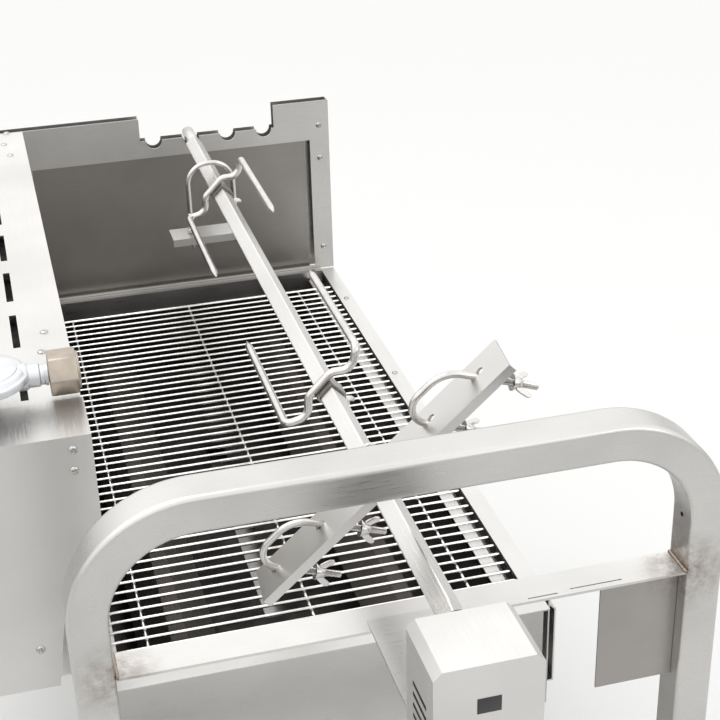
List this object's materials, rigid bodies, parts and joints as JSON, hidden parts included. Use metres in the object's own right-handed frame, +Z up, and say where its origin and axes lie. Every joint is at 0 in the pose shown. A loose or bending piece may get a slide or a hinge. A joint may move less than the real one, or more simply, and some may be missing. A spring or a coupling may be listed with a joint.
{
  "type": "rotisserie oven",
  "caption": "Trolley-mounted gas spit roaster with a bar grate over a trough, notched end wall, rear burner hood, handle loop, and a square spit with forks and leg clamps.",
  "frame": {"origin": "middle of the machine's box, on the floor under the castors", "axes": "+X across to the operator's side, +Y along the spit to the notched end wall, +Z up"},
  "size_m": [0.852, 1.565, 1.1214],
  "materials": {
    "stainless": "brushed",
    "blackened_steel": "heat-darkened, matt",
    "chrome": "bright plated",
    "grey_alloy": "die cast, satin",
    "brass": "dull",
    "motor_case": "satin",
    "rubber": "matt",
    "black_plastic": "matt"
  },
  "bodies": {
    "chassis": {"handle_loop": "stainless", "handle_crossbar": "stainless", "handle_gusset": "stainless", "leg_far_rear": "stainless", "leg_far_front": "stainless", "cross_rail_near": "stainless", "cross_rail_far": "stainless", "rail_rear": "stainless", "rail_front": "stainless", "lower_shelf": "stainless", "trough_front": "blackened_steel", "trough_rear": "blackened_steel", "trough_bottom": "blackened_steel", "trough_near_end": "stainless", "trough_far_end": "blackened_steel", "ledge_front": "stainless", "ledge_rear": "stainless", "grate": "chrome", "heat_plate_front": "stainless", "heat_plate_rear": "stainless", "burner_front": "stainless", "burner_rear": "stainless", "gas_manifold": "grey_alloy", "control_panel": "stainless", "end_wall_frame": "stainless", "end_wall_panel": "stainless", "end_wall_back": "stainless", "end_wall_ledge": "stainless", "hood_shell": "stainless", "hood_cap_near": "stainless", "hood_base": "stainless", "rear_burner": "blackened_steel", "regulator_body": "grey_alloy", "regulator_nut": "brass", "motor_bracket": "stainless", "motor_housing": "motor_case"},
    "spit": {"spit_rod": "stainless"},
    "far_fork": {"fork_far": "chrome", "fork_far_screw": "chrome"},
    "near_fork": {"fork_near": "chrome", "fork_near_screw": "chrome"},
    "leg_clamp": {"leg_bracket": "stainless", "leg_bolt_upper": "stainless", "leg_bolt_lower": "stainless", "bracket_clamp": "stainless"},
    "spine_brace": {"brace_plate": "stainless", "brace_bolt": "stainless"},
    "drive": {"drive_socket": "blackened_steel"},
    "tray": {"drip_tray": "stainless"},
    "knob_1": {"knob_1": "black_plastic"},
    "knob_2": {"knob_2": "black_plastic"},
    "knob_3": {"knob_3": "black_plastic"},
    "castor_near_rear": {"castor_fork_near_rear": "stainless"},
    "wheel_near_rear": {"castor_wheel_near_rear": "rubber"},
    "castor_near_front": {"castor_fork_near_front": "stainless"},
    "wheel_near_front": {"castor_wheel_near_front": "rubber"},
    "castor_far_rear": {"castor_fork_far_rear": "stainless"},
    "wheel_far_rear": {"castor_wheel_far_rear": "rubber"},
    "castor_far_front": {"castor_fork_far_front": "stainless"},
    "wheel_far_front": {"castor_wheel_far_front": "rubber"}
  },
  "joints": [
    {"name": "spit_spin", "type": "hinge", "parent": "chassis", "child": "spit", "pos_m": [0.078, 0.6575, 0.996], "axis": [0, 1, 0], "continuous": true},
    {"name": "drive_spin", "type": "hinge", "parent": "chassis", "child": "drive", "pos_m": [0.078, -0.7195, 0.996], "axis": [0, 1, 0], "continuous": true},
    {"name": "far_fork_slide", "type": "slide", "parent": "spit", "child": "far_fork", "axis": [0, 1, 0], "range_m": [-0.08, 0.02]},
    {"name": "near_fork_slide", "type": "slide", "parent": "spit", "child": "near_fork", "axis": [0, 1, 0], "range_m": [-0.08, 0.1]},
    {"name": "leg_clamp_slide", "type": "slide", "parent": "spit", "child": "leg_clamp", "axis": [0, 1, 0], "range_m": [-0.03, 0.03]},
    {"name": "spine_brace_slide", "type": "slide", "parent": "spit", "child": "spine_brace", "axis": [0, 1, 0], "range_m": [-0.01, 0.08]},
    {"name": "tray_slide", "type": "slide", "parent": "chassis", "child": "tray", "axis": [0, -1, 0], "range_m": [0, 0.45]},
    {"name": "knob_1_turn", "type": "hinge", "parent": "chassis", "child": "knob_1", "pos_m": [0.344, 0.4075, 0.62], "axis": [1, 0, 0], "range_deg": [0, 180]},
    {"name": "knob_2_turn", "type": "hinge", "parent": "chassis", "child": "knob_2", "pos_m": [0.344, 0.1575, 0.62], "axis": [1, 0, 0], "range_deg": [0, 180]},
    {"name": "knob_3_turn", "type": "hinge", "parent": "chassis", "child": "knob_3", "pos_m": [0.344, -0.0925, 0.62], "axis": [1, 0, 0], "range_deg": [0, 180]},
    {"name": "swivel_near_rear", "type": "hinge", "parent": "chassis", "child": "castor_near_rear", "pos_m": [-0.238, -0.5435, 0.11], "axis": [0, 0, 1], "continuous": true},
    {"name": "roll_near_rear", "type": "hinge", "parent": "castor_near_rear", "child": "wheel_near_rear", "pos_m": [-0.238, -0.5685, 0.05], "axis": [1, 0, 0], "continuous": true},
    {"name": "swivel_near_front", "type": "hinge", "parent": "chassis", "child": "castor_near_front", "pos_m": [0.394, -0.5435, 0.11], "axis": [0, 0, 1], "continuous": true},
    {"name": "roll_near_front", "type": "hinge", "parent": "castor_near_front", "child": "wheel_near_front", "pos_m": [0.394, -0.5685, 0.05], "axis": [1, 0, 0], "continuous": true},
    {"name": "swivel_far_rear", "type": "hinge", "parent": "chassis", "child": "castor_far_rear", "pos_m": [-0.238, 0.7315, 0.11], "axis": [0, 0, 1], "continuous": true},
    {"name": "roll_far_rear", "type": "hinge", "parent": "castor_far_rear", "child": "wheel_far_rear", "pos_m": [-0.238, 0.7065, 0.05], "axis": [1, 0, 0], "continuous": true},
    {"name": "swivel_far_front", "type": "hinge", "parent": "chassis", "child": "castor_far_front", "pos_m": [0.394, 0.7315, 0.11], "axis": [0, 0, 1], "continuous": true},
    {"name": "roll_far_front", "type": "hinge", "parent": "castor_far_front", "child": "wheel_far_front", "pos_m": [0.394, 0.7065, 0.05], "axis": [1, 0, 0], "continuous": true}
  ],
  "couplings": [
    {"joint": "drive_spin", "follows": "spit_spin", "ratio": 1}
  ]
}
